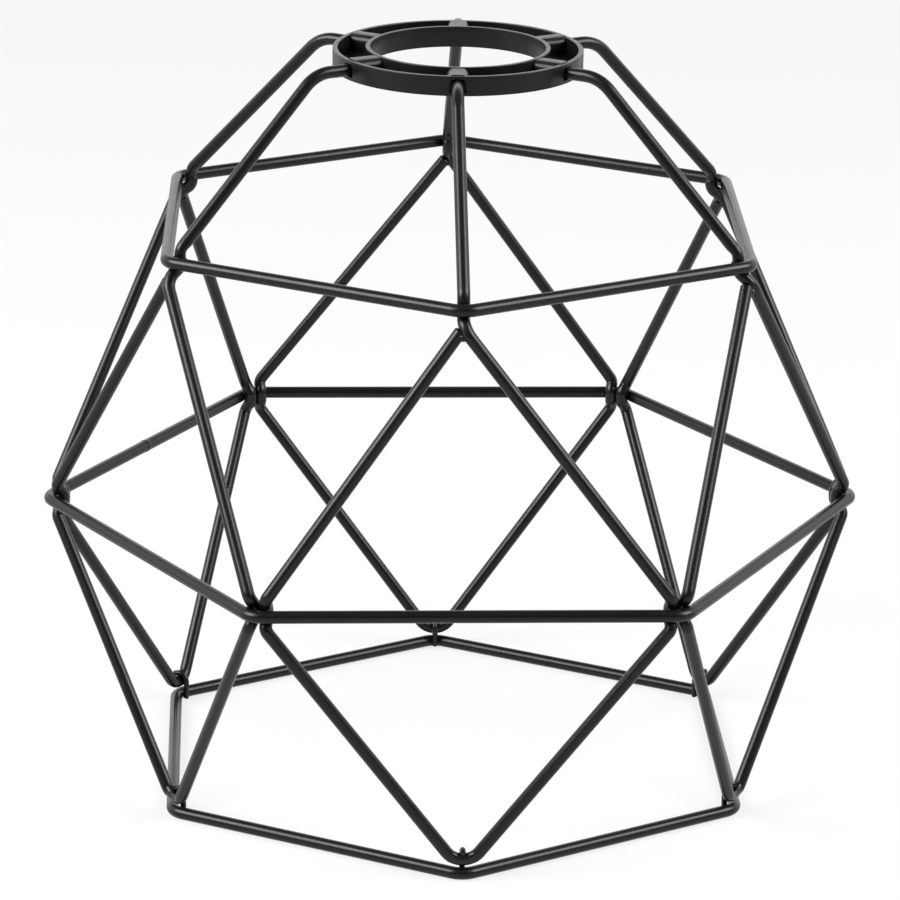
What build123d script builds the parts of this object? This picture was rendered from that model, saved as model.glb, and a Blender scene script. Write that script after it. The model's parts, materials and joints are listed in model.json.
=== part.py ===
"""Hexagonal wire lampshade: three bent hoops, six looped wires, six tie clips and a moulded fitter ring.

The shade hangs by its ring. Z points up, the origin is at the middle of the ring's top face, and the
whole cage lies below it. The front corner of the cage looks along -Y.
"""
import os
from math import asin, cos, radians, sin, sqrt, tan

from build123d import *

# Wire stock and welds
wire_dia = 3.0
weld_gap = 0.05

# Hoops: distance of the sharp corners from the axis, and the bend at every corner
upper_corner = 79.0
middle_corner = 99.3
lower_corner = 79.0
hoop_bend = 5.0
upper_drop = 42.6
middle_drop = 70.5
lower_drop = 67.0

# Moulded fitter ring
bore_dia = 42.0
ring_dia = 60.0
ring_height = 5.0
outer_band_step = 0.3
inner_wall = 1.1
outer_wall = 1.2
ring_floor = 0.8
rim_round = 0.35
rib_width = 5.6
rib_round = 1.7
hole_width = 4.1
hole_round = 1.3
groove_gap = 0.05
wire_end_gap = 0.3

# Looped wire, from the ring down to the upper hoop
shoulder_radius = 38.5
shoulder_bend = 9.0
knee_rise = 2.6
knee_bend = 3.2
wrap_angle = 50.0
leg_bend = 3.2

# Looped wire, crimped inwards to pass the middle hoop, and turned above the lower hoop
crimp_length = 3.2
crimp_shoulder = 4.2
crimp_bend = 2.3
turn_bend = 4.8
turn_gap = 0.3

# Tie clips, bent over the turn of the wire and behind the lower hoop
clip_dia = 1.2
clip_hook_angle = 125.0
clip_tail_angle = 20.0

# Layout: six sides, and the side on which each looped wire runs on without a break
sides = 6
running_side = (1, 1, -1, -1, 1, 1)
front_angle = -90.0

# Heights and places that follow from the sizes above
step_angle = 360 / sides
half_step = radians(step_angle / 2)
wire_radius = wire_dia / 2
upper_z = -outer_band_step - upper_drop
middle_z = upper_z - middle_drop
lower_z = middle_z - lower_drop
bore_radius = bore_dia / 2
ring_radius = ring_dia / 2
floor_top = ring_floor - ring_height
wire_z = floor_top + groove_gap + wire_radius
weld_pitch = wire_dia + weld_gap


def bent_corner(corner):
    """Distance from the axis to the middle of the bend that rounds a sharp corner of a hoop."""
    return corner - hoop_bend * (1 / cos(half_step) - 1)


def at_height(start, end, z):
    """The point at height z on the straight line from start to end."""
    return start + (end - start) * ((z - start.Z) / (end.Z - start.Z))


def inside_corner(corner, sideways):
    """Distance from the axis to a wire lying inside a hoop's corner, against its bend or its runs."""
    reach = hoop_bend - weld_pitch
    nest = (reach - sideways * sin(half_step)) / cos(half_step)
    if nest * tan(half_step) > sideways:
        nest = sqrt(reach**2 - sideways**2)
    return corner - hoop_bend / cos(half_step) + nest


# Inside the middle hoop two crimps lie side by side in each corner
crimp_side = weld_pitch / 2
crimp_corner = inside_corner(middle_corner, crimp_side)

# Inside the upper hoop one wire passes each corner, wraps round it and steps out into its first leg
pass_radius = inside_corner(upper_corner, 0)
wrap_drop = weld_pitch * tan(radians(wrap_angle / 2))
leg_drop = wrap_drop + (upper_corner - pass_radius) / tan(radians(wrap_angle))
leg_top = Vector(upper_corner, 0, upper_z - leg_drop)

# Above the lower hoop it turns
turn_radius = bent_corner(lower_corner)
turn_z = lower_z + wire_dia + turn_gap


def crimp_point(side, radial, sideways, z):
    """A place near a corner of the middle hoop, for the loop whose own plane is the XZ plane."""
    x = radial * cos(half_step) + sideways * sin(half_step)
    y = radial * sin(half_step) - sideways * cos(half_step)
    return Vector(x, side * y, z)


def turn_corner(passes=5):
    """The sharp corner under the turn, settled in passes so that the bent wire clears the lower hoop."""
    lowest = Vector(turn_radius, 0, turn_z)
    aim = crimp_point(1, bent_corner(middle_corner), 0, middle_z)
    centre = Vector(aim.X, 0, aim.Z)
    corner = lowest
    for _ in range(passes):
        half_angle = asin((aim - centre).length / (aim - corner).length)
        corner = lowest - (centre - corner).normalized() * turn_bend * (1 / sin(half_angle) - 1)
    return corner


def leg_corners(side):
    """Corners of one flank of a loop, from above the middle hoop to just above the turn."""
    aim = crimp_point(side, bent_corner(middle_corner), 0, middle_z)
    return (
        at_height(leg_top, aim, middle_z + crimp_shoulder),
        crimp_point(side, crimp_corner, crimp_side, middle_z + crimp_length / 2),
        crimp_point(side, crimp_corner, crimp_side, middle_z - crimp_length / 2),
        at_height(aim, turn_corner(), middle_z - crimp_shoulder),
    )


def butt_end(side):
    """The cut end of the wire, on the line of its last leg, where its rim meets the first leg."""
    last_leg = (leg_corners(side)[0] - leg_top).normalized()
    first_leg = (leg_corners(-side)[0] - leg_top).normalized()
    closing = last_leg.dot(first_leg)
    return leg_top + last_leg * ((wire_radius * (1 + closing) + weld_gap) / sqrt(1 - closing**2))


def azimuth(index):
    """Direction of a corner of the upper and lower hoops, seen from above."""
    return front_angle + index * step_angle


def section_plane(path):
    """Plane square to a path at its start."""
    return Plane(origin=path @ 0, z_dir=path % 0)


os.makedirs("parts", exist_ok=True)

# Fitter ring: a channel of two thin bands and a floor, with a groove under every rib for a wire end
inner_band_middle = bore_radius + inner_wall / 2
outer_band_middle = ring_radius - outer_wall / 2
groove_width = wire_dia + 2 * groove_gap
groove_start = bore_radius + inner_wall

with BuildPart() as fitter_ring:
    with BuildSketch(Plane.XZ):
        with Locations((inner_band_middle, -ring_height / 2)):
            Rectangle(inner_wall, ring_height)
        with Locations((outer_band_middle, -(ring_height + outer_band_step) / 2)):
            Rectangle(outer_wall, ring_height - outer_band_step)
        with Locations((inner_band_middle, -ring_height)):
            Rectangle(outer_band_middle - inner_band_middle, ring_floor, align=Align.MIN)
        rims = vertices().filter_by(lambda corner: corner.Y > -ring_height / 2).sort_by(Axis.X)
        fillet(rims[1:], rim_round)
    revolve(axis=Axis.Z)
    for index in range(sides):
        along = Vector(1, 0, 0).rotate(Axis.Z, azimuth(index))
        across = Vector(0, 1, 0).rotate(Axis.Z, azimuth(index))
        with BuildSketch(Plane(along * inner_band_middle, x_dir=across, z_dir=along)):
            with Locations((0, -ring_height / 2)):
                Rectangle(rib_width, ring_height)
            fillet(vertices().group_by(Axis.Y)[-1], rib_round)
        extrude(amount=outer_band_middle - inner_band_middle)
        with BuildSketch(Plane(along * groove_start, x_dir=across, z_dir=along)):
            with Locations((0, wire_z)):
                Rectangle(groove_width, groove_width)
        extrude(amount=ring_radius - groove_start, mode=Mode.SUBTRACT)
        with BuildSketch(Plane(along * (ring_radius - outer_wall), x_dir=across, z_dir=along)):
            with Locations((0, wire_z)):
                Rectangle(hole_width, groove_width)
            fillet(vertices().group_by(Axis.Y)[-1], hole_round)
        extrude(amount=outer_wall, mode=Mode.SUBTRACT)
fitter_ring.part.label = "fitter_ring"
export_step(fitter_ring.part, "parts/fitter_ring.step")

# Hoops: one wire each, bent at every corner and butt-welded to a closed hexagon
hoops = {
    "upper_hoop": (upper_corner, upper_z, azimuth(0)),
    "middle_hoop": (middle_corner, middle_z, azimuth(0.5)),
    "lower_hoop": (lower_corner, lower_z, azimuth(0)),
}
for name, (corner, height, start) in hoops.items():
    with BuildPart() as hoop:
        with BuildLine(Plane((0, 0, height)).rotated((0, 0, start))) as hoop_path:
            turns = [radians(index * step_angle) for index in range(sides)]
            corners = [(corner * cos(turn), corner * sin(turn)) for turn in turns]
            FilletPolyline(*corners, radius=hoop_bend, close=True)
        with BuildSketch(section_plane(hoop_path.wire())):
            Circle(wire_radius)
        sweep(path=hoop_path.wire())
    hoop.part.label = name
    export_step(hoop.part, f"parts/{name}.step")

# Looped wires: out of the ring, inside the upper hoop, then once round a folded diamond
wire_bends = (
    [shoulder_bend, knee_bend, weld_pitch, leg_bend]
    + [crimp_bend] * 4
    + [turn_bend]
    + [crimp_bend] * 4
)
for index, side in enumerate(running_side):
    name = f"loop_wire_{index + 1}"
    route = [
        Vector(groove_start + wire_end_gap, 0, wire_z),
        Vector(shoulder_radius, 0, wire_z),
        Vector(pass_radius, 0, upper_z + knee_rise),
        Vector(pass_radius, 0, upper_z - wrap_drop),
        leg_top,
        *leg_corners(side),
        turn_corner(),
        *reversed(leg_corners(-side)),
        butt_end(-side),
    ]
    own_plane = Plane.XY.rotated((0, 0, azimuth(index)))
    with BuildPart() as loop_wire:
        with BuildLine(own_plane) as wire_path:
            FilletPolyline(*[tuple(place) for place in route], radius=wire_bends)
        with BuildSketch(section_plane(wire_path.wire())):
            Circle(wire_radius)
        sweep(path=wire_path.wire())
    loop_wire.part.label = name
    export_step(loop_wire.part, f"parts/{name}.step")

# Tie clips: thin wire hooked over the turn of each loop and down behind the lower hoop
clip_radius = wire_radius + weld_gap + clip_dia / 2
for index in range(sides):
    name = f"tie_clip_{index + 1}"
    with BuildPart() as tie_clip:
        with BuildLine(Plane.XZ.rotated((0, 0, azimuth(index)))) as clip_path:
            hook = CenterArc((turn_radius, turn_z), clip_radius, 180 - clip_hook_angle, clip_hook_angle)
            tail = CenterArc((turn_radius, lower_z), clip_radius, 180, clip_tail_angle)
            Line(hook @ 1, tail @ 0)
        with BuildSketch(section_plane(clip_path.wire())):
            Circle(clip_dia / 2)
        sweep(path=clip_path.wire())
    tie_clip.part.label = name
    export_step(tie_clip.part, f"parts/{name}.step")
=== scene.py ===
# %% [markdown]
# # A hexagonal wire lampshade
#
# The shade is an open cage of black coated steel wire under a moulded ring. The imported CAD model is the
# frame: it says where every piece is. This lesson rebuilds the wires finer than the CAD mesh, presses and
# welds them as a workshop would, gives them their coat, and lights them in a small studio.

# %% Load the frame
import json
from math import asin, cos, degrees, pi, radians, sin, sqrt, tan

import bpy
import numpy as np
from mathutils import Matrix, Vector


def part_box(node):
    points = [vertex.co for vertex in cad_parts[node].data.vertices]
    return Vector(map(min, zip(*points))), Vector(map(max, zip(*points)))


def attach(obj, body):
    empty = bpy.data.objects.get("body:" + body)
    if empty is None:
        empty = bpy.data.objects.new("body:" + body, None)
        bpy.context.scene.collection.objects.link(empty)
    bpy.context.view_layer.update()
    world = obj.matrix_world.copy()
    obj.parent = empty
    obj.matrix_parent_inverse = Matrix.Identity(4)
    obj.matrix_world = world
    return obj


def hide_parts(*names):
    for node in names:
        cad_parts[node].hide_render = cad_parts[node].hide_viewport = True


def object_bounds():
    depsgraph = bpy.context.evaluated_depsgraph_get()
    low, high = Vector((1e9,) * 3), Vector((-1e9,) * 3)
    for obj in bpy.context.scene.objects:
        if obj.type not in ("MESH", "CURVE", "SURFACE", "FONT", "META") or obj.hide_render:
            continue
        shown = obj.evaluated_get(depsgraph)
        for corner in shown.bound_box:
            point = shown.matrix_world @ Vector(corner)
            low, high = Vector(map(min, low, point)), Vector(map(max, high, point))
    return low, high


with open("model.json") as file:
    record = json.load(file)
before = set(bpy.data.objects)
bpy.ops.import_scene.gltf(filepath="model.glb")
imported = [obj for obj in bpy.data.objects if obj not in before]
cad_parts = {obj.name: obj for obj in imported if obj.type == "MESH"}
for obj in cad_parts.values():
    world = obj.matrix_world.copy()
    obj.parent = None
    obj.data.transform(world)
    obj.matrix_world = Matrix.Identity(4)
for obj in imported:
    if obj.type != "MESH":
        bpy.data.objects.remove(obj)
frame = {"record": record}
cad_box = [list(corner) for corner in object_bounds()]
scene = bpy.context.scene
print("CAD box in metres:", cad_box)

# %% [markdown]
# ## Sizes
#
# Blender works in metres here, and the shade was drawn in millimetres, so each size is written in
# millimetres times one factor. The places of hoops, crimps and turns then follow by the same rules as in
# the CAD model, which keeps the rebuilt wires on their nodes.

# %% Sizes of the wire and the hoops
MM = 0.001
SIDES = 6
STEP = radians(360 / SIDES)
HALF_STEP = STEP / 2
FRONT_ANGLE = radians(-90)

wire_dia = 3.0 * MM
wire_radius = wire_dia / 2
weld_gap = 0.05 * MM
weld_pitch = wire_dia + weld_gap

upper_corner = 79.0 * MM
middle_corner = 99.3 * MM
lower_corner = 79.0 * MM
hoop_bend = 5.0 * MM
upper_drop = 42.9 * MM
middle_drop = 70.5 * MM
lower_drop = 67.0 * MM
upper_z = -upper_drop
middle_z = upper_z - middle_drop
lower_z = middle_z - lower_drop
print("heights of the hoops, mm:", [round(z / MM, 1) for z in (upper_z, middle_z, lower_z)])

# %% Sizes of the ring's groove, where a looped wire starts
bore_radius = frame["record"]["mounts"][0]["dims"]["r_mm"] * MM
ring_height = 5.0 * MM
ring_floor = 0.8 * MM
inner_wall = 1.1 * MM
groove_gap = 0.05 * MM
wire_end_gap = 0.3 * MM
groove_width = wire_dia + 2 * groove_gap
groove_start = bore_radius + inner_wall
wire_z = ring_floor - ring_height + groove_width / 2
print("height of a wire in the ring, mm:", round(wire_z / MM, 2))

# %% Sizes along a looped wire
shoulder_radius = 38.5 * MM
shoulder_bend = 9.0 * MM
knee_rise = 2.6 * MM
knee_bend = 3.2 * MM
wrap_angle = radians(60)
leg_bend = 5.0 * MM
butt_run = 0.9 * MM
butt_tuck = 1.0 * MM
crimp_length = 2.2 * MM
crimp_shoulder = 3.5 * MM
crimp_bend = 2.1 * MM
turn_bend = 4.8 * MM
turn_gap = 0.55 * MM
print("tightest bend, mm:", round(min(shoulder_bend, knee_bend, leg_bend, crimp_bend, turn_bend) / MM, 2))

# %% [markdown]
# ## Routes of the wires
#
# A wire bender works from a list of corners and a bend radius at each one. So does this script: a route is
# a list of places with the bend that rounds them. Every looped wire is one such route, drawn once for the
# corner that lies along X and then turned to its own corner.
#
# A welded cage springs a little when it leaves its jig, so the ring and each hoop of a real one are turned,
# by less than three degrees here. Every place takes the turn of the level that it lies at. The knots keep
# their shape, and only the straight runs between the levels lean.

# %% Turning a place to its corner
level_twist = {0.0: radians(-2.4), upper_z: radians(-0.9), middle_z: radians(0.5), lower_z: radians(0.35)}


def azimuth(index):
    """Direction of a corner of the upper and lower hoops, seen from above."""
    return FRONT_ANGLE + index * STEP


def turned(place, angle):
    """A place turned about the shade's axis."""
    return Matrix.Rotation(angle, 3, "Z") @ Vector(place)


def sprung(angle, z):
    """A direction seen from above, with the twist of the level that is nearest to a height."""
    return angle + level_twist[min(level_twist, key=lambda level: abs(level - z))]


def turned_route(route, angle):
    """A route turned about the shade's axis, with the twist of each of its levels."""
    return [(turned(place, sprung(angle, place.z)), bend) for place, bend in route]


print("twist of ring and hoops, degrees:", [round(degrees(twist), 2) for twist in level_twist.values()])


# %% Where wires lie against each other
def bent_corner(corner):
    """Distance from the axis to the middle of the bend that rounds a hoop's sharp corner."""
    return corner - hoop_bend * (1 / cos(HALF_STEP) - 1)


def inside_corner(corner, sideways):
    """Distance from the axis to a wire lying inside a hoop's corner, against its bend or its runs."""
    reach = hoop_bend - weld_pitch
    nest = (reach - sideways * sin(HALF_STEP)) / cos(HALF_STEP)
    if nest * tan(HALF_STEP) > sideways:
        nest = sqrt(reach**2 - sideways**2)
    return corner - hoop_bend / cos(HALF_STEP) + nest


crimp_side = weld_pitch / 2
crimp_corner = inside_corner(middle_corner, crimp_side)
pass_radius = inside_corner(upper_corner, 0)
wrap_drop = weld_pitch * tan(wrap_angle / 2)
leg_drop = wrap_drop + (upper_corner - pass_radius) / tan(wrap_angle)
leg_top = Vector((upper_corner, 0, upper_z - leg_drop))
turn_radius = bent_corner(lower_corner)
turn_z = lower_z + wire_dia + turn_gap
print("a wire passes inside the upper hoop at radius, mm:", round(pass_radius / MM, 2))


# %% Corners of one flank of a loop
def at_height(start, end, z):
    """The point at height z on the straight line from start to end."""
    return start + (end - start) * ((z - start.z) / (end.z - start.z))


def crimp_point(side, radial, sideways, z):
    """A place near a corner of the middle hoop, for the loop whose own plane is the XZ plane."""
    x = radial * cos(HALF_STEP) + sideways * sin(HALF_STEP)
    y = radial * sin(HALF_STEP) - sideways * cos(HALF_STEP)
    return Vector((x, side * y, z))


def turn_corner(passes=5):
    """The sharp corner under the turn, settled in passes so that the bent wire clears the lower hoop."""
    lowest = Vector((turn_radius, 0, turn_z))
    aim = crimp_point(1, bent_corner(middle_corner), 0, middle_z)
    centre = Vector((aim.x, 0, aim.z))
    corner = lowest
    for _ in range(passes):
        half_angle = asin((aim - centre).length / (aim - corner).length)
        corner = lowest - (centre - corner).normalized() * turn_bend * (1 / sin(half_angle) - 1)
    return corner


def leg_corners(side):
    """Corners of one flank, from above the middle hoop to just above the turn."""
    aim = crimp_point(side, bent_corner(middle_corner), 0, middle_z)
    return [
        at_height(leg_top, aim, middle_z + crimp_shoulder),
        crimp_point(side, crimp_corner, crimp_side, middle_z + crimp_length / 2),
        crimp_point(side, crimp_corner, crimp_side, middle_z - crimp_length / 2),
        at_height(aim, turn_corner(), middle_z - crimp_shoulder),
    ]


print("sharp corner under a turn, mm:", [round(value / MM, 2) for value in turn_corner()])


# %% Routes of loops and hoops
def loop_route(side, play):
    """One looped wire: out of the ring, round the upper hoop from inside, and once round a folded diamond."""
    back = leg_corners(-side)
    butt = leg_top - Vector((butt_tuck, 0, 0))
    crimp_bends = [crimp_bend] * 4
    places = [
        Vector((groove_start + wire_end_gap, 0, wire_z)),
        Vector((shoulder_radius, 0, wire_z)),
        Vector((pass_radius - play, 0, upper_z + knee_rise)),
        Vector((pass_radius - play, 0, upper_z - wrap_drop)),
        leg_top,
        *leg_corners(side),
        turn_corner(),
        *reversed(back),
        butt + (back[0] - butt).normalized() * butt_run,
    ]
    bends = [0, shoulder_bend, knee_bend, weld_pitch, leg_bend, *crimp_bends, turn_bend, *crimp_bends, 0]
    return list(zip(places, bends))


def hoop_route(corner, z, start):
    """A closed hexagon, bent at its corners."""
    return [(turned((corner, 0, z), sprung(start + index * STEP, z)), hoop_bend) for index in range(SIDES)]


print("corners on a looped wire:", len(loop_route(1, 0)))

# %% Route of a tie clip
clip_dia = 1.4 * MM
clip_hook_angle = radians(125)
clip_tail_angle = radians(20)


def clip_route(steps=10):
    """A thin wire hooked over the turn of a loop and down behind the lower hoop, round both by arcs."""
    reach = wire_radius + weld_gap + clip_dia / 2

    def arc(z, start, sweep):
        """Places round a wire that crosses at a height."""
        angles = [start + sweep * number / steps for number in range(steps + 1)]
        return [Vector((turn_radius + reach * cos(angle), 0, z + reach * sin(angle))) for angle in angles]

    hook = arc(turn_z, pi - clip_hook_angle, clip_hook_angle)
    tail = arc(lower_z, pi, clip_tail_angle)
    return [(place, 0) for place in hook + tail]


print("places on a clip:", len(clip_route()))

# %% [markdown]
# ## Coats
#
# The wire carries a satin black powder coat, which has a faint orange peel and a few specks of dust under
# it. The ring is a moulded plastic with a finer skin and faint level streaks from the turned mould. Both
# need the same kind of grain at their own scale, so the grain is one shader group that each material places
# with its own values. It reads Object coordinates, because the pieces keep their place in their meshes.


# %% A helper for nodes
def add_node(tree, kind, inputs=None, **options):
    """Adds a node, sets its options, and links or sets the inputs that are named or numbered."""
    node = tree.nodes.new(kind)
    for name, value in options.items():
        setattr(node, name, value)
    for key, value in (inputs or {}).items():
        if isinstance(value, bpy.types.NodeSocket):
            tree.links.new(value, node.inputs[key])
        else:
            node.inputs[key].default_value = value
    return node


# %% The grain group
def make_grain(streak_stretch=0.03, speck_choice=0.86):
    """Shader group: fine grain and level streaks for bump, a slow mottle for tone, and rare specks."""
    group = bpy.data.node_groups.new("coat_grain", "ShaderNodeTree")
    scales = ("Grain per metre", "Mottle per metre", "Specks per metre", "Streaks per metre")
    for name in (*scales, "Streak share"):
        group.interface.new_socket(name, in_out="INPUT", socket_type="NodeSocketFloat")
    for name in ("Grain", "Mottle", "Specks"):
        group.interface.new_socket(name, in_out="OUTPUT", socket_type="NodeSocketFloat")
    given = add_node(group, "NodeGroupInput").outputs
    place = add_node(group, "ShaderNodeTexCoord").outputs["Object"]
    grain = add_node(group, "ShaderNodeTexNoise", {
        "Vector": place, "Scale": given["Grain per metre"], "Detail": 3.0, "Roughness": 0.55,
    })
    mottle = add_node(group, "ShaderNodeTexNoise", {
        "Vector": place, "Scale": given["Mottle per metre"], "Detail": 4.0, "Roughness": 0.6,
    })
    cells = add_node(group, "ShaderNodeTexVoronoi", {"Vector": place, "Scale": given["Specks per metre"]})
    dots = add_node(group, "ShaderNodeMapRange", {
        "Value": cells.outputs["Distance"],
        "From Min": 0.04, "From Max": 0.08, "To Min": 1.0, "To Max": 0.0,
    })
    chosen = add_node(group, "ShaderNodeMath", {
        0: cells.outputs["Color"], 1: speck_choice,
    }, operation="GREATER_THAN")
    specks = add_node(group, "ShaderNodeMath", {
        0: dots.outputs["Result"], 1: chosen.outputs[0],
    }, operation="MULTIPLY")
    drawn = add_node(group, "ShaderNodeMapping", {
        "Vector": place, "Scale": (streak_stretch, streak_stretch, 1.0),
    })
    streaks = add_node(group, "ShaderNodeTexNoise", {
        "Vector": drawn.outputs[0], "Scale": given["Streaks per metre"], "Detail": 2.0,
    })
    relief = add_node(group, "ShaderNodeMix", {
        0: given["Streak share"], 2: grain.outputs["Fac"], 3: streaks.outputs["Fac"],
    })
    add_node(group, "NodeGroupOutput", {
        "Grain": relief.outputs[0], "Mottle": mottle.outputs["Fac"], "Specks": specks.outputs[0],
    })
    return group


grain_group = make_grain()
print("nodes in the grain group:", len(grain_group.nodes))


# %% A grained finish
def make_finish(name, dark, light, speck, rubbed_and_painted_glint, gloss, sheen, grain, relief, rub=0.8):
    """A grained finish: tone and gloss drift with the mottle, specks lighten it, and a press makes it shinier
    and lighter, the lighter tone partly rubbed coat and partly a painted highlight.
    """
    material = bpy.data.materials.new(name)
    material.use_nodes = True
    tree = material.node_tree
    shader = tree.nodes["Principled BSDF"]
    shader.inputs["Specular IOR Level"].default_value = sheen
    coat = add_node(tree, "ShaderNodeGroup", node_tree=grain_group)
    for key, value in grain.items():
        coat.inputs[key].default_value = value
    tone = add_node(tree, "ShaderNodeMix", {
        0: coat.outputs["Mottle"], 6: (*dark, 1), 7: (*light, 1),
    }, data_type="RGBA").outputs[2]
    dusted = add_node(tree, "ShaderNodeMix", {
        0: coat.outputs["Specks"], 6: tone, 7: (*speck, 1),
    }, data_type="RGBA").outputs[2]
    pressed = add_node(tree, "ShaderNodeAttribute", attribute_name="pressed").outputs["Fac"]
    # Pressed places take a lighter tone: partly rubbed coat, partly a painted highlight.
    rubbed_and_glint_tone = add_node(tree, "ShaderNodeMix", {0: pressed, 6: dusted, 7: (*rubbed_and_painted_glint, 1)}, data_type="RGBA")
    tree.links.new(rubbed_and_glint_tone.outputs[2], shader.inputs["Base Color"])
    satin = add_node(tree, "ShaderNodeMapRange", {
        "Value": coat.outputs["Mottle"],
        "From Min": 0.3, "From Max": 0.7, "To Min": gloss[0], "To Max": gloss[1],
    })
    rubbed = add_node(tree, "ShaderNodeMix", {0: pressed, 2: satin.outputs["Result"], 3: rub * gloss[0]})
    tree.links.new(rubbed.outputs[0], shader.inputs["Roughness"])
    peel = add_node(tree, "ShaderNodeBump", {
        "Strength": 1.0, "Distance": relief, "Height": coat.outputs["Grain"],
    })
    tree.links.new(peel.outputs["Normal"], shader.inputs["Normal"])
    return material


# %% The two finishes
wire_coat = make_finish(
    "satin_black_coat",
    dark=(0.0022, 0.0022, 0.0025),
    light=(0.0042, 0.0042, 0.0047),
    speck=(0.02, 0.02, 0.021),
    # The tone of pressed places: partly rubbed coat, partly a painted highlight.
    rubbed_and_painted_glint=(0.006, 0.006, 0.0068),
    gloss=(0.28, 0.33),
    sheen=0.28,
    grain={"Grain per metre": 1400.0, "Mottle per metre": 70.0, "Specks per metre": 260.0},
    relief=0.007 * MM,
)
ring_plastic = make_finish(
    "matt_ring_plastic",
    dark=(0.003, 0.003, 0.0035),
    light=(0.007, 0.007, 0.0078),
    speck=(0.02, 0.02, 0.021),
    # The tone of pressed places: partly rubbed coat, partly a painted highlight.
    rubbed_and_painted_glint=(0.02, 0.02, 0.02),
    gloss=(0.28, 0.36),
    sheen=0.22,
    grain={
        "Grain per metre": 2600.0, "Mottle per metre": 350.0, "Specks per metre": 700.0,
        "Streaks per metre": 2400.0, "Streak share": 0.7,
    },
    relief=0.03 * MM,
)
print("finishes:", wire_coat.name, ring_plastic.name)

# %% [markdown]
# ## Bending wire with nodes
#
# The wires could be swept by the curve's own bevel, but a bevel has no way to round corners by their own
# radius. A node tree does it as a bender does: Fillet Curve rounds each corner, Resample Curve spaces the
# sections evenly, and Curve to Mesh sweeps the round wire. The bend at a corner travels in the curve's
# point radius. The coat softens the edge of every cut end, so the last section of an open wire is a
# little smaller. One tree serves hoops, loops and clips.


# %% How every tree starts and ends
def new_tree(name, inputs):
    """An empty geometry tree with a geometry in, a geometry out and the named inputs between."""
    tree = bpy.data.node_groups.new(name, "GeometryNodeTree")
    tree.interface.new_socket("Geometry", in_out="INPUT", socket_type="NodeSocketGeometry")
    for label, kind in inputs.items():
        tree.interface.new_socket(label, in_out="INPUT", socket_type=f"NodeSocket{kind}")
    tree.interface.new_socket("Geometry", in_out="OUTPUT", socket_type="NodeSocketGeometry")
    return tree, add_node(tree, "NodeGroupInput").outputs


def close_tree(tree, geometry, material, crease=radians(38)):
    """Ends a tree: real geometry, smooth shading up to a crease, and its material."""
    real = add_node(tree, "GeometryNodeRealizeInstances", {"Geometry": geometry})
    angle = add_node(tree, "GeometryNodeInputMeshEdgeAngle").outputs["Unsigned Angle"]
    soft = add_node(tree, "FunctionNodeCompare", {0: angle, 1: crease}, operation="LESS_THAN")
    shaded = add_node(tree, "GeometryNodeSetShadeSmooth", {
        "Geometry": real.outputs[0], "Shade Smooth": soft.outputs[0],
    }, domain="EDGE")
    dressed = add_node(tree, "GeometryNodeSetMaterial", {"Geometry": shaded.outputs[0], "Material": material})
    add_node(tree, "NodeGroupOutput", {"Geometry": dressed.outputs[0]})


# %% The tree that bends a wire
def make_wire_tree():
    """A curve's corners rounded by their point radius, and a round wire swept along it."""
    tree, given = new_tree("bent_wire", {
        "Wire Radius": "Float", "Around": "Int", "Spacing": "Float", "Bend Steps": "Int",
        "End Softness": "Float", "End Share": "Float", "Material": "Material",
    })
    bend = add_node(tree, "GeometryNodeInputRadius").outputs[0]
    bent = add_node(tree, "GeometryNodeFilletCurve", {
        "Curve": given["Geometry"], "Count": given["Bend Steps"], "Radius": bend,
    }, mode="POLY")
    spaced = add_node(tree, "GeometryNodeResampleCurve", {
        "Curve": bent.outputs[0], "Length": given["Spacing"],
    }, mode="LENGTH")
    even = add_node(tree, "GeometryNodeSetCurveRadius", {"Curve": spaced.outputs[0], "Radius": 1.0})
    section = add_node(tree, "GeometryNodeCurvePrimitiveCircle", {
        "Resolution": given["Around"], "Radius": given["Wire Radius"],
    })
    from_start = add_node(tree, "GeometryNodeSplineParameter").outputs["Length"]
    whole = add_node(tree, "GeometryNodeSplineLength").outputs["Length"]
    from_end = add_node(tree, "ShaderNodeMath", {0: whole, 1: from_start}, operation="SUBTRACT").outputs[0]
    to_cut = add_node(tree, "ShaderNodeMath", {0: from_start, 1: from_end}, operation="MINIMUM").outputs[0]
    taper = add_node(tree, "ShaderNodeMapRange", {
        "Value": to_cut, "From Max": given["End Softness"], "To Min": given["End Share"],
    })
    closed = add_node(tree, "GeometryNodeInputSplineCyclic").outputs[0]
    share = add_node(tree, "GeometryNodeSwitch", {
        "Switch": closed, "False": taper.outputs["Result"], "True": 1.0,
    }, input_type="FLOAT")
    swept = add_node(tree, "GeometryNodeCurveToMesh", {
        "Curve": even.outputs[0], "Profile Curve": section.outputs[0],
        "Scale": share.outputs[0], "Fill Caps": True,
    })
    close_tree(tree, swept.outputs[0], given["Material"])
    return tree


wire_tree = make_wire_tree()
print("nodes in the wire tree:", len(wire_tree.nodes))


# %% From a route to a plain mesh
def route_curve(name, route, closed=False):
    """A curve through a route's corners, with each corner's bend as its point radius."""
    curve = bpy.data.curves.new(name, "CURVE")
    curve.dimensions = "3D"
    spline = curve.splines.new("POLY")
    spline.points.add(len(route) - 1)
    for point, (place, bend) in zip(spline.points, route):
        point.co = (*place, 1)
        point.radius = bend
    spline.use_cyclic_u = closed
    return curve


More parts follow.
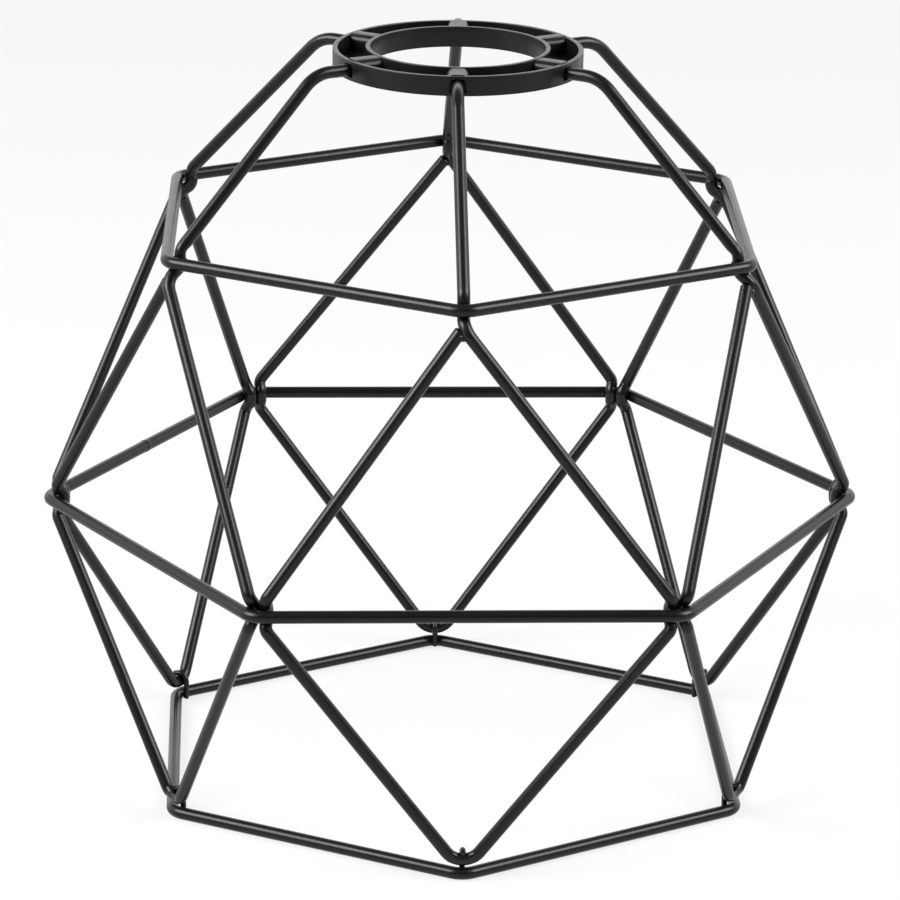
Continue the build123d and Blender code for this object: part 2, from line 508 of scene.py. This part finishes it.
def grow(name, carrier_data, tree, values):
    """Runs a tree on the carrier's data and keeps the result as a plain mesh object at the origin."""
    carrier = bpy.data.objects.new(name, carrier_data)
    scene.collection.objects.link(carrier)
    modifier = carrier.modifiers.new(tree.name, "NODES")
    modifier.node_group = tree
    for item in tree.interface.items_tree:
        if item.name in values:
            modifier[item.identifier] = values[item.name]
    depsgraph = bpy.context.evaluated_depsgraph_get()
    mesh = bpy.data.meshes.new_from_object(
        carrier.evaluated_get(depsgraph), preserve_all_data_layers=True, depsgraph=depsgraph
    )
    carrier.modifiers.remove(modifier)
    bpy.data.objects.remove(carrier)
    piece = bpy.data.objects.new(name, mesh)
    scene.collection.objects.link(piece)
    return piece


def bend_wire(name, route, radius, spacing, closed=False):
    """One bent wire, with its coat."""
    return grow(name, route_curve(name, route, closed), wire_tree, {
        "Wire Radius": radius, "Around": 24, "Spacing": spacing, "Bend Steps": 12,
        "End Softness": spacing, "End Share": 1 - spacing / radius, "Material": wire_coat,
    })


# %% [markdown]
# ## Hoops, loops and clips
#
# Each CAD wire gets its finer twin, named after it. The box of every twin is held against the box of its
# node, so that a slip in a rule shows at once. The twist of the levels shows there as about a millimetre.

# %% Bend the hoops
wires = {}
hoop_spacing = 0.6 * MM
hoop_sizes = {
    "upper_hoop": (upper_corner, upper_z, azimuth(0)),
    "middle_hoop": (middle_corner, middle_z, azimuth(0.5)),
    "lower_hoop": (lower_corner, lower_z, azimuth(0)),
}
for node, (corner, z, start) in hoop_sizes.items():
    route = hoop_route(corner, z, start)
    wires[node] = bend_wire(f"bent_{node}", route, wire_radius, hoop_spacing, closed=True)
print("hoops:", len(wires))

# %% Bend the loops and their clips
running_side = (1, 1, -1, -1, 1, 1)
wrap_play = (0.0, 0.0, 0.4 * MM, 0.2 * MM, 0.4 * MM, 0.0)
loop_spacing = 0.35 * MM
clip_spacing = 0.2 * MM
for index, (side, play) in enumerate(zip(running_side, wrap_play)):
    number = index + 1
    route = turned_route(loop_route(side, play), azimuth(index))
    wires[f"loop_wire_{number}"] = bend_wire(f"bent_loop_{number}", route, wire_radius, loop_spacing)
    route = turned_route(clip_route(), azimuth(index))
    wires[f"tie_clip_{number}"] = bend_wire(f"bent_clip_{number}", route, clip_dia / 2, clip_spacing)
print("wires in all:", len(wires))


# %% Hold the twins against the CAD nodes
def off_node(piece, node):
    """Largest distance between the sides of a piece's box and of its node's box, in millimetres."""
    places = np.array([vertex.co for vertex in piece.data.vertices])
    low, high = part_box(node)
    return max(np.abs(places.min(axis=0) - low).max(), np.abs(places.max(axis=0) - high).max()) / MM


largest_step = max(off_node(piece, node) for node, piece in wires.items())
print("largest step from a CAD box, mm:", round(largest_step, 3))

# %% [markdown]
# ## Pressed places
#
# Resistance welding squeezes the wires between electrodes, and the crimping tool nips them. Both leave a
# shallow mark with a crisp ledge at its edge, and the coat is shinier there. Its tone is a little lighter
# there too, partly as rubbed coat and partly as a painted highlight. A boolean cut would leave ragged faces
# on such fine tubes, so the marks are pressed into the meshes: every point of a wire that stands on the
# pressed side, within the length of the tool, is moved back.


# %% Press a mark into a wire
def press_mark(piece, centre, facing, run, depth, length, ledges, full_share=0.6):
    """Presses the side of a wire that looks along facing, over a length of its run, and marks it for a
    shinier coat and a lighter tone that is partly a painted highlight.
    """
    mesh = piece.data
    if "pressed" not in mesh.attributes:
        mesh.attributes.new("pressed", "FLOAT", "POINT")
    places = np.empty(len(mesh.vertices) * 3, dtype=np.float32)
    mesh.vertices.foreach_get("co", places)
    places = places.reshape(-1, 3)
    offset = places - np.array(centre)
    height = offset @ np.array(facing)
    along = offset @ np.array(run)
    across = np.linalg.norm(offset - np.outer(height, facing) - np.outer(along, run), axis=1)
    first = np.clip((length / 2 - along) / ledges[0], 0, 1)
    last = np.clip((length / 2 + along) / ledges[1], 0, 1)
    near = (across < wire_dia) & (np.abs(height) < wire_dia)
    push = depth * np.clip(height / wire_radius, 0, 1) * first * last * near
    places -= np.outer(push, facing)
    mesh.vertices.foreach_set("co", places.ravel())
    mark = np.empty(len(mesh.vertices), dtype=np.float32)
    mesh.attributes["pressed"].data.foreach_get("value", mark)
    mark = np.maximum(mark, np.clip(push / (full_share * depth), 0, 1))
    mesh.attributes["pressed"].data.foreach_set("value", mark)
    mesh.update()
    return int((push > 0).sum())


# %% Marks above the hoop that a wire passes, in its crimps and on its turn
crisp = 0.12 * MM
knee_mark = {"depth": 0.35 * MM, "length": 2.8 * MM, "ledges": (1.2 * MM, crisp)}
knee_mark_z = upper_z + 2.0 * MM
crimp_mark = {"depth": 0.26 * MM, "length": 5.0 * MM, "ledges": (crisp, 1.0 * MM)}
crimp_mark_z = middle_z + 0.4 * MM
turn_mark = {"depth": 0.24 * MM, "length": 5.6 * MM, "ledges": (crisp, crisp)}
up = Vector((0, 0, 1))
loop_rise = Vector((bent_corner(middle_corner) * cos(HALF_STEP), 0, middle_z)) - turn_corner()
loop_rise.normalize()
pressed_points = 0
for index, side in enumerate(running_side):
    piece = wires[f"loop_wire_{index + 1}"]
    turn = sprung(azimuth(index), upper_z)
    knee = turned((pass_radius - wrap_play[index], 0, knee_mark_z), turn)
    pressed_points += press_mark(piece, knee, turned((-1, 0, 0), turn), up, **knee_mark)
    turn = sprung(azimuth(index), middle_z)
    for flank in (side, -side):
        crimp = turned(crimp_point(flank, crimp_corner, crimp_side, crimp_mark_z), turn)
        inward = turned((-1, 0, 0), turn + flank * HALF_STEP)
        pressed_points += press_mark(piece, crimp, inward, up, **crimp_mark)
    turn = sprung(azimuth(index), lower_z)
    low = turned((turn_radius, 0, turn_z), turn)
    outward = turned((loop_rise.z, 0, -loop_rise.x), turn)
    pressed_points += press_mark(piece, low, outward, turned((0, 1, 0), turn), **turn_mark)
print("points pressed:", pressed_points)

# %% [markdown]
# ## Weld beads
#
# A little metal is squeezed out at every weld: a fillet in the crotch where the cut end of each loop meets
# its own first leg, small beads beside the crimps, and one above each hoop corner that a wire passes. They
# are all rounded lumps of their own size and direction, so a node tree sets a lump on each given point and
# roughens it with a fixed noise.


# %% The tree that sets beads
def make_bead_tree():
    """A ball on every point, scaled and turned by the point's own attributes, with lumps."""
    tree, given = new_tree("weld_beads", {
        "Lumps per Metre": "Float", "Lump Height": "Float", "Material": "Material",
    })
    size = add_node(tree, "GeometryNodeInputNamedAttribute", {"Name": "size"}, data_type="FLOAT_VECTOR")
    turn = add_node(tree, "GeometryNodeInputNamedAttribute", {"Name": "turn"}, data_type="FLOAT")
    facing = add_node(tree, "ShaderNodeCombineXYZ", {"Z": turn.outputs[0]})
    ball = add_node(tree, "GeometryNodeMeshIcoSphere", {"Radius": 1.0, "Subdivisions": 4})
    beads = add_node(tree, "GeometryNodeInstanceOnPoints", {
        "Points": given["Geometry"], "Instance": ball.outputs[0],
        "Rotation": facing.outputs[0], "Scale": size.outputs[0],
    })
    real = add_node(tree, "GeometryNodeRealizeInstances", {"Geometry": beads.outputs[0]})
    lumps = add_node(tree, "ShaderNodeTexNoise", {"Scale": given["Lumps per Metre"], "Detail": 1.0})
    centred = add_node(tree, "ShaderNodeMath", {0: lumps.outputs[0], 1: 0.5}, operation="SUBTRACT")
    height = add_node(tree, "ShaderNodeMath", {
        0: centred.outputs[0], 1: given["Lump Height"],
    }, operation="MULTIPLY")
    normal = add_node(tree, "GeometryNodeInputNormal").outputs[0]
    offset = add_node(tree, "ShaderNodeVectorMath", {
        0: normal, "Scale": height.outputs[0],
    }, operation="SCALE")
    rough = add_node(tree, "GeometryNodeSetPosition", {
        "Geometry": real.outputs[0], "Offset": offset.outputs[0],
    })
    close_tree(tree, rough.outputs[0], given["Material"])
    return tree


bead_tree = make_bead_tree()
print("nodes in the bead tree:", len(bead_tree.nodes))


# %% Set beads on points
def set_beads(name, beads):
    """A mesh of weld beads, each given by its place, half sizes and direction."""
    mesh = bpy.data.meshes.new(name)
    mesh.from_pydata([place for place, size, turn in beads], [], [])
    mesh.attributes.new("size", "FLOAT_VECTOR", "POINT")
    mesh.attributes.new("turn", "FLOAT", "POINT")
    for number, (place, size, turn) in enumerate(beads):
        mesh.attributes["size"].data[number].vector = size
        mesh.attributes["turn"].data[number].value = turn
    return grow(name, mesh, bead_tree, {
        "Lumps per Metre": 900.0, "Lump Height": 0.25 * MM, "Material": wire_coat,
    })


# %% Beads in the crotches, beside the crimps and in the knots
crotch_size = (1.1 * MM, 1.3 * MM, 1.0 * MM)
crotch_fall = 2.05 * MM
crotch_z = upper_z - (leg_drop + crotch_fall)
bead_size = (0.8 * MM, 0.7 * MM, 0.6 * MM)
bead_rise = 1.0 * MM
bead_out = 1.3 * MM
bead_aside = 0.8 * MM
knot_size = (0.7 * MM, 0.8 * MM, 0.6 * MM)
knot_rise = 0.7 * MM
crotch_beads = []
crimp_beads = []
knot_beads = []
for index in range(SIDES):
    turn = sprung(azimuth(index), upper_z)
    crotch_beads.append((turned((upper_corner, 0, crotch_z), turn), crotch_size, turn))
    knot_beads.append((turned((pass_radius + wire_radius, 0, upper_z + knot_rise), turn), knot_size, turn))
    turn = sprung(azimuth(index), middle_z)
    for flank in (-1, 1):
        place = crimp_point(flank, crimp_corner + bead_out, crimp_side + bead_aside, middle_z + bead_rise)
        crimp_beads.append((turned(place, turn), bead_size, turn + flank * HALF_STEP))
welds = [
    set_beads("crotch_welds", crotch_beads),
    set_beads("crimp_welds", crimp_beads),
    set_beads("knot_welds", knot_beads),
]
print("weld beads:", len(crotch_beads) + len(crimp_beads) + len(knot_beads))

# %% [markdown]
# ## The seam of the middle hoop
#
# A hoop is closed by a butt weld, and the coat shows it as a faint collar. The photograph shows that of the
# middle hoop, at the left. A collar could be a piece of its own, but it would end in an edge where the real
# one runs out softly, so the wire's own points are swollen there.


# %% The butt seam that closes the middle hoop
def raise_seam(piece, centre, along, height, width):
    """Swells a wire in a narrow collar, as the upset of a butt weld does."""
    mesh = piece.data
    for vertex in mesh.vertices:
        offset = vertex.co - centre
        run = offset.dot(along)
        if abs(run) < width and offset.length < wire_dia:
            swell = height * (1 + cos(pi * run / width)) / 2
            vertex.co += (offset - along * run).normalized() * swell
    mesh.update()


seam_share = 0.47
seam_height = 0.14 * MM
seam_width = 0.8 * MM
left_corner = turned((middle_corner, 0, middle_z), sprung(azimuth(4.5), middle_z))
next_corner = turned((middle_corner, 0, middle_z), sprung(azimuth(3.5), middle_z))
seam_place = left_corner.lerp(next_corner, seam_share)
seam_run = (next_corner - left_corner).normalized()
raise_seam(wires["middle_hoop"], seam_place, seam_run, seam_height, seam_width)
print("seam at:", [round(value, 4) for value in seam_place])

# %% [markdown]
# ## The moulded ring
#
# The ring is a channel of two thin bands and a floor, bridged by ribs. A groove under each rib takes the end
# of a wire, and an arched hole in the outer band lets it out. It could be modelled by hand or cut from the
# CAD mesh, but bands and floor are profiles swept round a circle, the ribs repeat, and the grooves and holes
# are cut. So a node tree moulds the ring from its sizes, with rims rounded just enough to catch the light.


# %% Profiles and sweeps
def rounded_profile(tree, width, height, top_round, foot_round):
    """A rectangle with its own rounding at the top, where a swept profile's Y is below zero."""
    plain = add_node(tree, "GeometryNodeCurvePrimitiveQuadrilateral", {"Width": width, "Height": height})
    place = add_node(tree, "GeometryNodeInputPosition").outputs[0]
    level = add_node(tree, "ShaderNodeSeparateXYZ", {0: place}).outputs["Y"]
    upper = add_node(tree, "FunctionNodeCompare", {0: level, 1: 0.0}, operation="LESS_THAN")
    radius = add_node(tree, "GeometryNodeSwitch", {
        "Switch": upper.outputs[0], "False": foot_round, "True": top_round,
    }, input_type="FLOAT")
    rounded = add_node(tree, "GeometryNodeFilletCurve", {
        "Curve": plain.outputs[0], "Count": 6, "Radius": radius.outputs[0], "Limit Radius": True,
    }, mode="POLY")
    return rounded.outputs[0]


def sweep(tree, path, profile, middle):
    """A profile swept along a level path, with its own up along Z, at a height."""
    level = add_node(tree, "GeometryNodeSetCurveNormal", {"Curve": path}, mode="Z_UP")
    swept = add_node(tree, "GeometryNodeCurveToMesh", {
        "Curve": level.outputs[0], "Profile Curve": profile, "Scale": 1.0, "Fill Caps": True,
    })
    lift = add_node(tree, "ShaderNodeCombineXYZ", {"Z": middle})
    return add_node(tree, "GeometryNodeTransform", {
        "Geometry": swept.outputs[0], "Translation": lift.outputs[0],
    }).outputs[0]


# %% Bands round the ring, and spokes that repeat
def band(tree, radius, profile, middle):
    """A profile swept round the ring."""
    circle = add_node(tree, "GeometryNodeCurvePrimitiveCircle", {"Resolution": 288, "Radius": radius})
    return sweep(tree, circle.outputs[0], profile, middle)


def spokes(tree, given, start, end, profile, middle):
    """A profile swept outwards from the axis, once for every rib."""
    line = add_node(tree, "GeometryNodeCurvePrimitiveLine", {
        "Start": add_node(tree, "ShaderNodeCombineXYZ", {"X": start}).outputs[0],
        "End": add_node(tree, "ShaderNodeCombineXYZ", {"X": end}).outputs[0],
    })
    spoke = sweep(tree, line.outputs[0], profile, middle)
    single = add_node(tree, "GeometryNodeGeometryToInstance", {0: spoke})
    many = add_node(tree, "GeometryNodeDuplicateElements", {
        "Geometry": single.outputs[0], "Amount": given["Sides"],
    }, domain="INSTANCE")
    share = add_node(tree, "ShaderNodeMath", {0: 2 * pi, 1: given["Sides"]}, operation="DIVIDE")
    angle = add_node(tree, "ShaderNodeMath", {
        0: many.outputs["Duplicate Index"], 1: share.outputs[0], 2: given["First Rib"],
    }, operation="MULTIPLY_ADD")
    facing = add_node(tree, "ShaderNodeCombineXYZ", {"Z": angle.outputs[0]})
    spread = add_node(tree, "GeometryNodeRotateInstances", {
        "Instances": many.outputs[0], "Rotation": facing.outputs[0], "Local Space": False,
    })
    return add_node(tree, "GeometryNodeRealizeInstances", {"Geometry": spread.outputs[0]}).outputs[0]


# %% The tree that moulds the ring
def make_ring_tree():
    """Bands, floor and ribs joined, with the grooves and holes cut out."""
    floats = [f"Inner {size}" for size in ("Radius", "Wall", "Height", "Middle")]
    floats += [f"Outer {size}" for size in ("Radius", "Wall", "Height", "Middle")]
    floats += [f"Floor {size}" for size in ("Radius", "Width", "Height", "Middle")]
    floats += ["Rim Round", "Foot Round", "Rib Width", "Rib Round", "Rib Height", "Rib Middle", "Rib End"]
    floats += ["Cut Middle", "Cut Height", "Cut End", "Groove Start", "Groove Width"]
    floats += ["Hole Start", "Hole Width", "Hole Round"]
    tree, given = new_tree("moulded_ring", {
        "Sides": "Int", "First Rib": "Float", **dict.fromkeys(floats, "Float"), "Material": "Material",
    })

    def profile(width, height, top_round):
        """A rounded profile by the names of its inputs."""
        return rounded_profile(tree, given[width], given[height], given[top_round], given["Foot Round"])

    whole = add_node(tree, "GeometryNodeMeshBoolean", operation="UNION", solver="EXACT")
    for part, width in (("Inner", "Inner Wall"), ("Outer", "Outer Wall"), ("Floor", "Floor Width")):
        section = profile(width, f"{part} Height", "Rim Round")
        swept_band = band(tree, given[f"{part} Radius"], section, given[f"{part} Middle"])
        tree.links.new(swept_band, whole.inputs["Mesh 2"])
    rib = profile("Rib Width", "Rib Height", "Rib Round")
    ribs = spokes(tree, given, given["Inner Radius"], given["Rib End"], rib, given["Rib Middle"])
    tree.links.new(ribs, whole.inputs["Mesh 2"])
    cut = add_node(tree, "GeometryNodeMeshBoolean", {
        "Mesh 1": whole.outputs[0],
    }, operation="DIFFERENCE", solver="EXACT")
    for part, top_round in (("Groove", "Foot Round"), ("Hole", "Hole Round")):
        section = profile(f"{part} Width", "Cut Height", top_round)
        cutter = spokes(tree, given, given[f"{part} Start"], given["Cut End"], section, given["Cut Middle"])
        tree.links.new(cutter, cut.inputs["Mesh 2"])
    close_tree(tree, cut.outputs[0], given["Material"], crease=radians(30))
    return tree


ring_tree = make_ring_tree()
print("nodes in the ring tree:", len(ring_tree.nodes))

# %% Sizes of the ring
ring_radius = 30.0 * MM
outer_wall = 1.2 * MM
outer_band_step = 0.3 * MM
outer_height = ring_height - outer_band_step
inner_middle = bore_radius + inner_wall / 2
outer_middle = ring_radius - outer_wall / 2
rim_round = 0.16 * MM
foot_round = 0.12 * MM
rib_width = 5.6 * MM
rib_step = 0.12 * MM
rib_height = ring_height - rib_step
rib_bite = 0.15 * MM
rib_round = 1.7 * MM
hole_width = 4.1 * MM
hole_round = 1.3 * MM
cut_over = 0.5 * MM
cut_lift = 0.02 * MM
print("channel between the bands, mm:", round((ring_radius - outer_wall - groove_start) / MM, 2))

# %% Mould the ring
ring = grow("moulded_ring", bpy.data.meshes.new("moulded_ring"), ring_tree, {
    "Sides": SIDES,
    "First Rib": sprung(FRONT_ANGLE, 0.0),
    "Inner Radius": inner_middle,
    "Inner Wall": inner_wall,
    "Inner Height": ring_height,
    "Inner Middle": -ring_height / 2,
    "Outer Radius": outer_middle,
    "Outer Wall": outer_wall,
    "Outer Height": outer_height,
    "Outer Middle": -outer_band_step - outer_height / 2,
    "Floor Radius": (inner_middle + outer_middle) / 2,
    "Floor Width": outer_middle - inner_middle,
    "Floor Height": ring_floor,
    "Floor Middle": -ring_height + ring_floor / 2,
    "Rim Round": rim_round,
    "Foot Round": foot_round,
    "Rib Width": rib_width,
    "Rib Round": rib_round,
    "Rib Height": rib_height,
    "Rib Middle": rib_height / 2 - ring_height,
    "Rib End": ring_radius - outer_wall + rib_bite,
    "Cut Middle": wire_z + cut_lift,
    "Cut Height": groove_width,
    "Cut End": ring_radius + cut_over,
    "Groove Start": groove_start,
    "Groove Width": groove_width,
    "Hole Start": ring_radius - outer_wall - cut_over,
    "Hole Width": hole_width,
    "Hole Round": hole_round,
    "Material": ring_plastic,
})
wires["fitter_ring"] = ring
print("ring faces:", len(ring.data.polygons), "off its node by mm:", round(off_node(ring, "fitter_ring"), 3))

# %% [markdown]
# ## Put the pieces on the frame
#
# Every rebuilt piece stands for its CAD node, which it hides, and rides with the one body of this part.

# %% Ride and replace
for node, piece in wires.items():
    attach(piece, "root")
    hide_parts(node)
for piece in welds:
    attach(piece, "root")
triangles = {piece.name: len(piece.data.loop_triangles) for piece in [*wires.values(), *welds]}
print("triangles in all:", sum(triangles.values()), "largest piece:", max(triangles.values()))

# %% [markdown]
# ## Floor
#
# The floor is pale paint that takes the shade's shadow. A photographer would wash such a floor with light of
# its own until it is nearly white. Here Light Path does that: seen by the camera, or mirrored in the wire,
# most of the paint gives way to plain white, which casts no light of its own on the object.


# %% Floor paint
def make_floor_paint(wash):
    """Pale paint that shows mostly as plain white where it is seen or mirrored."""
    paint = bpy.data.materials.new("pale_floor")
    paint.use_nodes = True
    tree = paint.node_tree
    pale = tree.nodes["Principled BSDF"]
    pale.inputs["Base Color"].default_value = (0.6, 0.6, 0.6, 1)
    pale.inputs["Roughness"].default_value = 0.9
    white = add_node(tree, "ShaderNodeEmission", {"Color": (1, 1, 1, 1), "Strength": 1.0})
    path = add_node(tree, "ShaderNodeLightPath").outputs
    mirrored = add_node(tree, "ShaderNodeMath", {
        0: path["Is Glossy Ray"], 1: path["Is Transmission Ray"],
    }, operation="MAXIMUM")
    seen = add_node(tree, "ShaderNodeMath", {
        0: path["Is Camera Ray"], 1: mirrored.outputs[0],
    }, operation="MAXIMUM")
    share = add_node(tree, "ShaderNodeMath", {0: seen.outputs[0], 1: wash}, operation="MULTIPLY")
    washed = add_node(tree, "ShaderNodeMixShader", {
        0: share.outputs[0], 1: pale.outputs[0], 2: white.outputs[0],
    })
    tree.links.new(washed.outputs[0], tree.nodes["Material Output"].inputs["Surface"])
    return paint


# %% Floor
floor_radius = 30
floor_sides = 64
floor_level = cad_box[0][2]
floor_start = (floor_radius, 0, floor_level)
floor_rim = [turned(floor_start, 2 * pi * number / floor_sides) for number in range(floor_sides)]
floor_mesh = bpy.data.meshes.new("studio_floor")
floor_mesh.from_pydata(floor_rim, [], [list(range(floor_sides))])
floor_mesh.materials.append(make_floor_paint(wash=0.75))
floor = bpy.data.objects.new("studio_floor", floor_mesh)
scene.collection.objects.link(floor)
print("floor level in metres:", round(floor_level, 4))

# %% [markdown]
# ## Lamps and room
#
# Black wire shows its form only by what it mirrors. A large softbox stands at the left of the camera and a
# weaker one at the right, so round wires carry two long highlights with a dark core between them. The room
# is white behind the shade and dark on the camera's side, so rims that look away from the camera turn light
# and faces that look at it stay black.

# %% Lamps
view_target = Vector((-0.0005, 0, -0.1014))


def add_softbox(name, bearing, height_angle, distance, width, height, radiance):
    """A rectangular lamp that looks at the shade, from right of the camera by a bearing and above level."""
    lamp = bpy.data.lights.new(name, "AREA")
    lamp.shape = "RECTANGLE"
    lamp.size = width
    lamp.size_y = height
    lamp.energy = radiance * pi * width * height
    box = bpy.data.objects.new(name, lamp)
    level = distance * cos(height_angle)
    place = Vector((level * sin(bearing), -level * cos(bearing), distance * sin(height_angle)))
    box.location = view_target + place
    box.rotation_euler = (-place).to_track_quat("-Z", "Y").to_euler()
    box.visible_camera = False
    scene.collection.objects.link(box)
    print(name, "in watts:", round(lamp.energy, 1))


softbox_size = {"width": 0.9, "height": 0.8}
add_softbox("softbox_left", radians(-71), radians(35), distance=1.4, radiance=13.5, **softbox_size)
add_softbox("softbox_right", radians(73), radians(36), distance=1.5, radiance=11.5, **softbox_size)


# %% The room that the wires mirror
def make_room(camera_side, far_side, overhead):
    """A world that goes from one grey on the camera's side to another behind, under a grey ceiling."""
    room = bpy.data.worlds.new("studio_room")
    room.use_nodes = True
    tree = room.node_tree
    direction = add_node(tree, "ShaderNodeSeparateXYZ", {
        0: add_node(tree, "ShaderNodeTexCoord").outputs["Generated"],
    })

    def blend(value, start, end, before, after):
        """Goes from one grey to another as a direction passes from start to end."""
        share = add_node(tree, "ShaderNodeMapRange", {
            "Value": value, "From Min": start, "From Max": end,
        }, interpolation_type="SMOOTHSTEP")
        return add_node(tree, "ShaderNodeMix", {0: share.outputs["Result"], 2: before, 3: after}).outputs[0]

    walls = blend(direction.outputs["Y"], start=-0.2, end=0.5, before=camera_side, after=far_side)
    whole = blend(direction.outputs["Z"], start=0.4, end=0.75, before=walls, after=overhead)
    tree.links.new(whole, tree.nodes["Background"].inputs["Color"])
    return room


scene.world = make_room(camera_side=0.1, far_side=1.6, overhead=0.3)
print("room:", scene.world.name)

# %% [markdown]
# ## Camera
#
# The photograph was taken from a little above, with a long lens, and the camera leaned by under a degree.
# The lens, distance and lean come from fitting the straight wires of the model to those of the photograph.

# %% Camera at the photograph's angle
view_bearing = radians(2.5)
view_height = radians(18.07)
view_distance = 1.1231
view_lean = radians(0.856)
camera_data = bpy.data.cameras.new("camera")
camera_data.sensor_width = 36.0
camera_data.lens = 182.9
camera = bpy.data.objects.new("camera", camera_data)
level = view_distance * cos(view_height)
reach = Vector((-level * sin(view_bearing), -level * cos(view_bearing), view_distance * sin(view_height)))
camera.location = view_target + reach
aim = (-reach).to_track_quat("-Z", "Y").to_matrix().to_4x4()
camera.rotation_euler = (aim @ Matrix.Rotation(view_lean, 4, "Z")).to_euler()
scene.collection.objects.link(camera)
scene.camera = camera
scene.view_settings.view_transform = "Standard"
print("camera at:", [round(value, 3) for value in camera.location])
